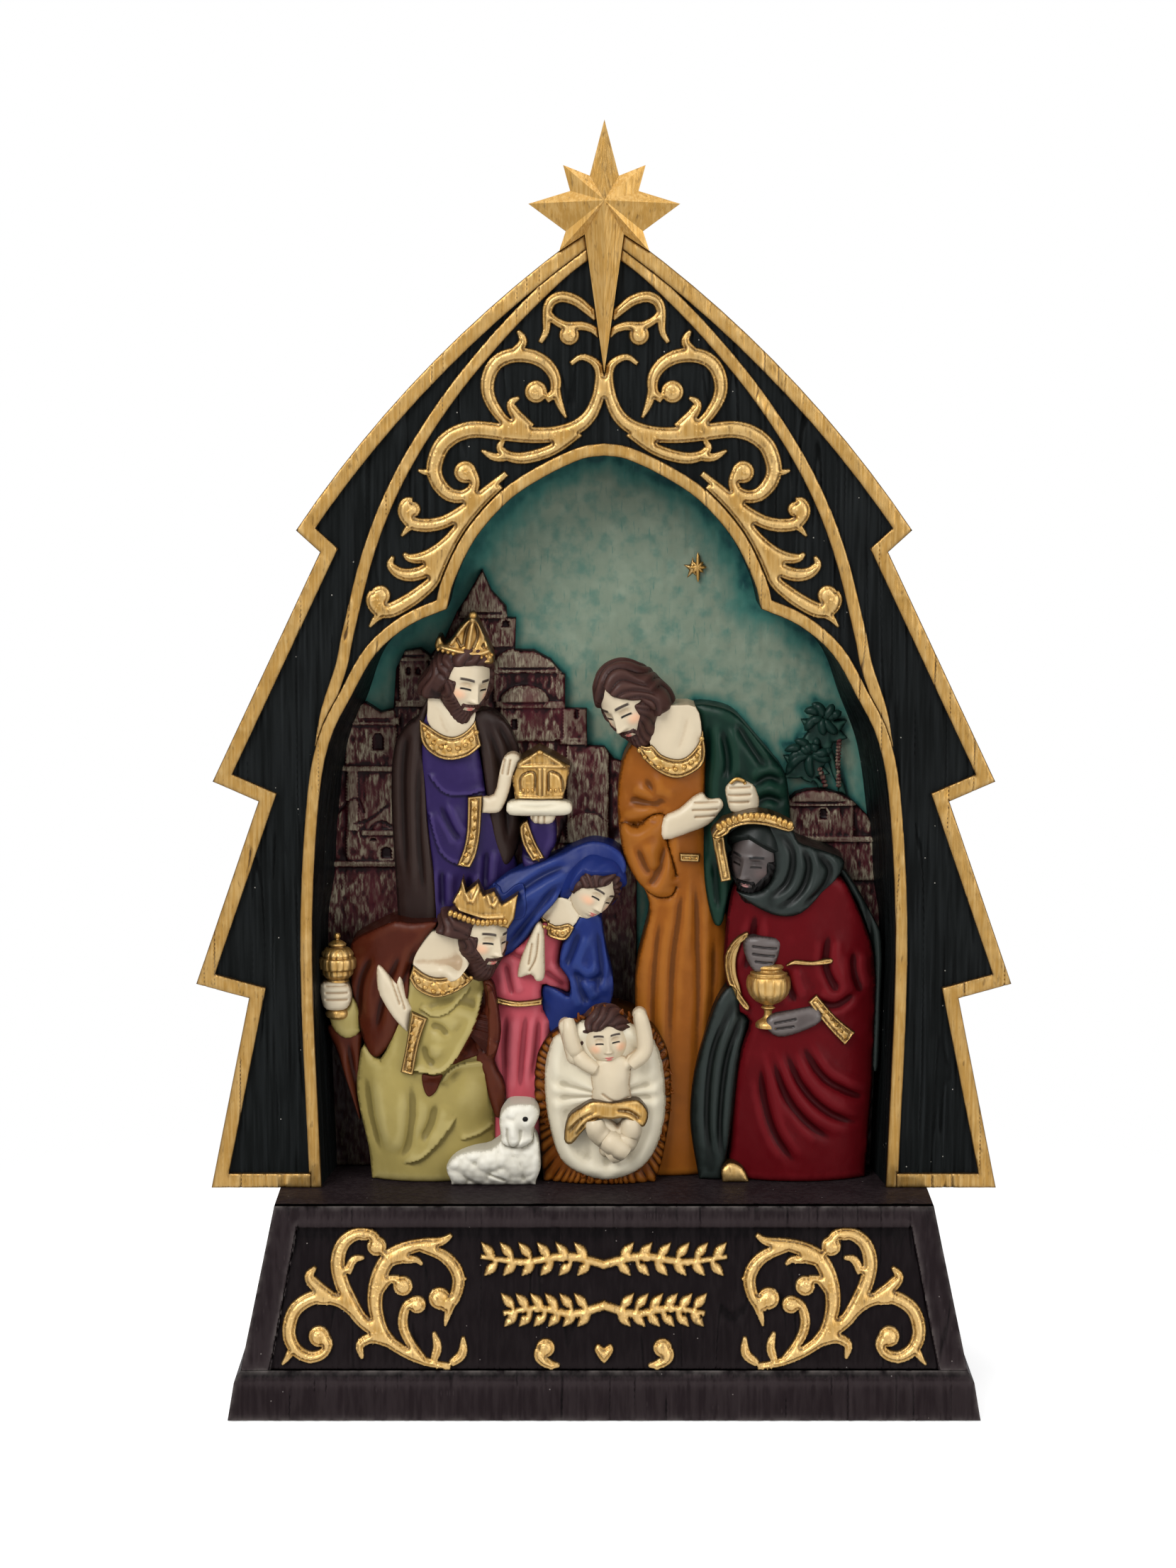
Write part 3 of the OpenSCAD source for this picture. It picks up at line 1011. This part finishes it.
// Kneeling king with the censer, against the left wall
module kneeling_king_robe() {
    color([0.6, 0.54, 0.3])
        difference() {
            translate([-side_x, 0, 0]) {
                kneeling_robe_form();
                difference() {
                    carve(o_kneel_wrist, 3, front_row - 4, [[-54, 60], [-54, 100], 4, 1.2]);
                    kneeling_cloak_form();
                    carve(o_kneel_grip, 3, front_row - 2.4, [[-56, 60], [-56, 100], 4, 1.4]);
                }
            }
            mother_dress_form();
            mother_veil_form();
            standing_cloak_form();
            standing_robe_form();
            town_left_form();
        }
}
module kneeling_king_cloak() {
    color([0.3, 0.13, 0.08])
        difference() {
            translate([-side_x, 0, 0])
                difference() {
                    kneeling_cloak_form();
                    kneeling_robe_form();
                }
            mother_dress_form();
            mother_veil_form();
            standing_cloak_form();
            standing_robe_form();
            town_left_form();
        }
}
module kneeling_king_head() {
    color(skin)
        difference() {
            translate([-side_x, 0, 0])
                difference() {
                    kneeling_head_form();
                    kneeling_robe_form();
                    kneeling_cloak_form();
                }
            mother_dress_form();
            mother_veil_form();
            standing_cloak_form();
            standing_robe_form();
            town_left_form();
        }
}
module kneeling_king_hair() {
    color(hair_brown)
        difference() {
            translate([-side_x, 0, 0])
                difference() {
                    kneeling_hair_form();
                    kneeling_head_form();
                    kneeling_cloak_form();
                    kneeling_robe_form();
                }
            mother_veil_form();
            mother_dress_form();
            standing_cloak_form();
        }
}
module kneeling_king_crown() {
    color(gold)
        difference() {
            translate([-side_x, 0, 0])
                difference() {
                    carve(o_kneel_crown, back_row + 0.8, front_row + 1.8, [[-32, 102], [-17, 98], 5, 1.4], 1);
                    kneeling_hair_form();
                    kneeling_head_form();
                }
            mother_veil_form();
        }
}
module kneeling_king_trim() {
    color(gold)
        translate([-side_x, 0, 0])
            difference() {
                union() {
                    carve(o_kneel_collar, 6, front_row + 0.6 + trim_t, m_kneeling);
                    carve(o_kneel_cuff, 6, front_row + 0.9 + trim_t, m_kneeling);
                }
                kneeling_robe_form();
                kneeling_cloak_form();
                kneeling_head_form();
                kneeling_hair_form();
            }
}
module kneeling_king_hands() {
    color(skin)
        difference() {
            translate([-side_x, 0, 0])
                difference() {
                    union() {
                        carve(o_kneel_hand, 6, front_row + 1, [[-44, 60], [-42, 100], 4, 1.2]);
                        carve(o_kneel_grip, 3, front_row - 2.4, [[-56, 60], [-56, 100], 4, 1.4]);
                    }
                    kneeling_robe_form();
                    kneeling_cloak_form();
                    carve(o_kneel_cuff, 6, front_row + 0.9 + trim_t, m_kneeling);
                }
            town_left_form();
        }
}
module censer() {
    color(gold)
        difference() {
            translate([-side_x, 0, 0])
                difference() {
                    turned(-55.4, front_row - 5.6, [[2.2, 76], [2.6, 76.5], [2.4, 77.6], [1.4, 78.4], [1.3, 83.4],
                        [2.6, 85], [3.6, 86.4], [3.9, 87.8], [3.7, 88.6], [3.9, 89], [3.5, 90], [2.6, 91.4],
                        [1.4, 92.4], [0.7, 92.8], [0.9, 93.4], [0.4, 94.1]]);
                    carve(o_kneel_grip, 3, front_row - 2.4, [[-56, 60], [-56, 100], 4, 1.4]);
                    carve(o_kneel_wrist, 3, front_row - 4, [[-54, 60], [-54, 100], 4, 1.2]);
                    kneeling_robe_form();
                    kneeling_cloak_form();
                }
            town_left_form();
        }
}

// Scarfed king with the goblet, against the right wall
module scarfed_king_robe() {
    color([0.36, 0.08, 0.1])
        difference() {
            translate([side_x, 0, 0])
                scarfed_robe_form();
            father_robe_form();
            father_cloak_form();
            town_right_form();
        }
}
module scarfed_king_cloak() {
    color([0.15, 0.17, 0.16])
        difference() {
            translate([side_x, 0, 0])
                difference() {
                    scarfed_cloak_form();
                    scarfed_robe_form();
                }
            father_robe_form();
            father_cloak_form();
            town_right_form();
        }
}
module scarfed_king_scarf() {
    color([0.15, 0.17, 0.16])
        difference() {
            translate([side_x, 0, 0])
                difference() {
                    scarf_form();
                    scarfed_robe_form();
                    scarfed_cloak_form();
                }
            father_robe_form();
            father_cloak_form();
            town_right_form();
        }
}
module scarfed_king_head() {
    color([0.29, 0.27, 0.26])
        difference() {
            translate([side_x, 0, 0])
                difference() {
                    scarfed_head_form();
                    scarf_form();
                    scarfed_robe_form();
                }
            father_robe_form();
            father_cloak_form();
        }
}
module scarfed_king_beard() {
    color([0.08, 0.07, 0.07])
        translate([side_x, 0, 0])
            difference() {
                carve(o_scarf_beard, front_row - 4, front_row + 2.6, [[30, 60], [31, 120], 5, 1.6]);
                scarfed_head_form();
                scarf_form();
                scarfed_robe_form();
            }
}
module scarfed_king_band() {
    color(gold)
        difference() {
            translate([side_x, 0, 0])
                difference() {
                    union() {
                        carve(o_scarf_band, back_row - 0.5, front_row + 3, [[22, 118], [40, 118], 9, 2]);
                        carve(o_scarf_ribbon, back_row - 0.5, front_row + 0.9, [[24, 60], [24, 130], 4, 0.8]);
                    }
                    scarfed_head_form();
                    scarf_form();
                    scarfed_robe_form();
                }
            father_robe_form();
            father_cloak_form();
        }
}
module scarfed_king_trim() {
    color(gold)
        difference() {
            translate([side_x, 0, 0])
                difference() {
                    union() {
                        carve(o_scarf_cuff1, 8, front_row + 0.3 + trim_t, m_scarfed);
                        carve(o_scarf_cuff2, 8, front_row + trim_t, m_scarfed);
                        carve(o_scarf_belt, 8, front_row + trim_t, m_scarfed);
                    }
                    scarfed_robe_form();
                    scarfed_cloak_form();
                }
            father_robe_form();
            father_cloak_form();
        }
}
module scarfed_king_hands() {
    color([0.29, 0.27, 0.26])
        translate([side_x, 0, 0])
            difference() {
                union() {
                    carve(o_scarf_hand1, 9, front_row + 1.2, [[32.6, 60], [32.6, 100], 4, 1.2]);
                    carve(o_scarf_hand2, 9, front_row + 1.4, [[30, 75], [50, 78], 4, 1.2]);
                }
                scarfed_robe_form();
                carve(o_scarf_cuff1, 8, front_row + 0.3 + trim_t, m_scarfed);
                carve(o_scarf_cuff2, 8, front_row + trim_t, m_scarfed);
            }
}
module scarfed_king_shoe() {
    color([0.12, 0.09, 0.09])
        translate([side_x, 0, 0])
            difference() {
                carve(o_scarf_shoe, 8, front_row, [[20, 44], [32, 44], 3, 1]);
                scarfed_robe_form();
                scarfed_cloak_form();
            }
}
module goblet() {
    color(gold)
        translate([side_x, 0, 0])
            difference() {
                turned(34.2, front_row - 1.4, [[2.2, 75.2], [2.7, 75.5], [2.5, 76.4], [1.3, 77.4], [1, 78.6],
                    [1.3, 79.6], [2.2, 80.5], [3.8, 82.4], [4.5, 84.8], [4.3, 86.6], [3.8, 87.6], [3.9, 88.2],
                    [2.6, 88.7]]);
                carve(o_scarf_hand1, 9, front_row + 1.2, [[32.6, 60], [32.6, 100], 4, 1.2]);
                carve(o_scarf_hand2, 9, front_row + 1.4, [[30, 75], [50, 78], 4, 1.2]);
                scarfed_robe_form();
            }
}

// Crib and lamb
module crib_straw() {
    color([0.52, 0.3, 0.1])
        difference() {
            straw_form();
            mother_veil_form();
            mother_dress_form();
            father_robe_form();
            town_left_form();
        }
}
module crib_cloth() {
    color([0.8, 0.78, 0.73])
        difference() {
            cloth_form();
            straw_form();
            mother_veil_form();
        }
}
module infant() {
    color(skin)
        difference() {
            union() {
                infant_head_form();
                carve(o_torso, crib_row - 3, crib_row + 2.6, [[1.4, 40], [1.4, 90], 3.6, 1.2]);
                limb([-2, crib_row + 0.8, 67.4, 1.5], [-6.4, crib_row + 0.4, 69.4, 1.4]);
                limb([-6.4, crib_row + 0.4, 69.4, 1.4], [-7.9, crib_row + 0.2, 76, 1.6]);
                limb([5, crib_row + 0.8, 68.4, 1.5], [8.8, crib_row + 0.4, 71, 1.4]);
                limb([8.8, crib_row + 0.4, 71, 1.4], [7.4, crib_row + 0.2, 78.2, 1.7]);
                limb([-1.2, crib_row + 1.4, 56.4, 2.1], [4.6, crib_row + 1.4, 51.8, 1.5]);
                limb([5.4, crib_row + 1.2, 55.6, 2], [0.4, crib_row + 1.2, 50, 1.5]);
            }
            cloth_form();
            straw_form();
            mother_veil_form();
            translate([-4, -20, 77.6 + lift_z])
                cube([9, 40, 5]);
        }
}
module infant_hair() {
    color(hair_brown)
        difference() {
            carve([[-3.9, 72.5], [-4.4, 75.3], [-4, 77.2], [-2.3, 78.9], [0.6, 79.6], [3, 78.8], [4.8, 76.3],
                [5.4, 74.2], [4.3, 73], [3.4, 75.2], [0.6, 76.6], [-2.4, 75.6]], crib_row - 3, crib_row + 2,
                [[-8, 76.4], [8, 76.4], 4, 1.4]);
            infant_head_form();
            cloth_form();
            straw_form();
            mother_veil_form();
        }
}
module swaddle() {
    color([0.72, 0.52, 0.26])
        difference() {
            carve(o_swaddle, crib_row - 3, crib_row + 4.6, [[0.6, 40], [0.6, 90], 8, 2]);
            infant();
            cloth_form();
            straw_form();
        }
}
module lamb() {
    color([0.84, 0.83, 0.8])
        difference() {
            union() {
                carve(o_lamb_body, 6, crib_row + 0.6, m_lamb);
                carve(o_lamb_head, 8, crib_row + 2, [[-17.6, 40], [-17.6, 90], 5, 1.6]);
            }
            translate([-side_x, 0, 0]) {
                kneeling_robe_form();
                kneeling_cloak_form();
            }
            mother_dress_form();
            straw_form();
        }
}

plinth_foot();
plinth_body();
panel_scrolls();
panel_garland();
tree_frame();
outer_border();
ogive_rim();
trefoil_rim();
tracery();
crest_scrolls();
star_topper();
sky_panel();
sky_star();
town();
palm_trees();
standing_king_robe();
standing_king_cloak();
standing_king_head();
standing_king_hair();
standing_king_crown();
standing_king_trim();
standing_king_hands();
chest_cushion();
gift_chest();
father_robe();
father_cloak();
father_head();
father_hair();
father_trim();
father_hands();
mother_veil();
mother_dress();
mother_head();
mother_hair();
mother_trim();
mother_hands();
kneeling_king_robe();
kneeling_king_cloak();
kneeling_king_head();
kneeling_king_hair();
kneeling_king_crown();
kneeling_king_trim();
kneeling_king_hands();
censer();
scarfed_king_robe();
scarfed_king_cloak();
scarfed_king_scarf();
scarfed_king_head();
scarfed_king_beard();
scarfed_king_band();
scarfed_king_trim();
scarfed_king_hands();
scarfed_king_shoe();
goblet();
crib_straw();
crib_cloth();
infant();
infant_hair();
swaddle();
lamb();
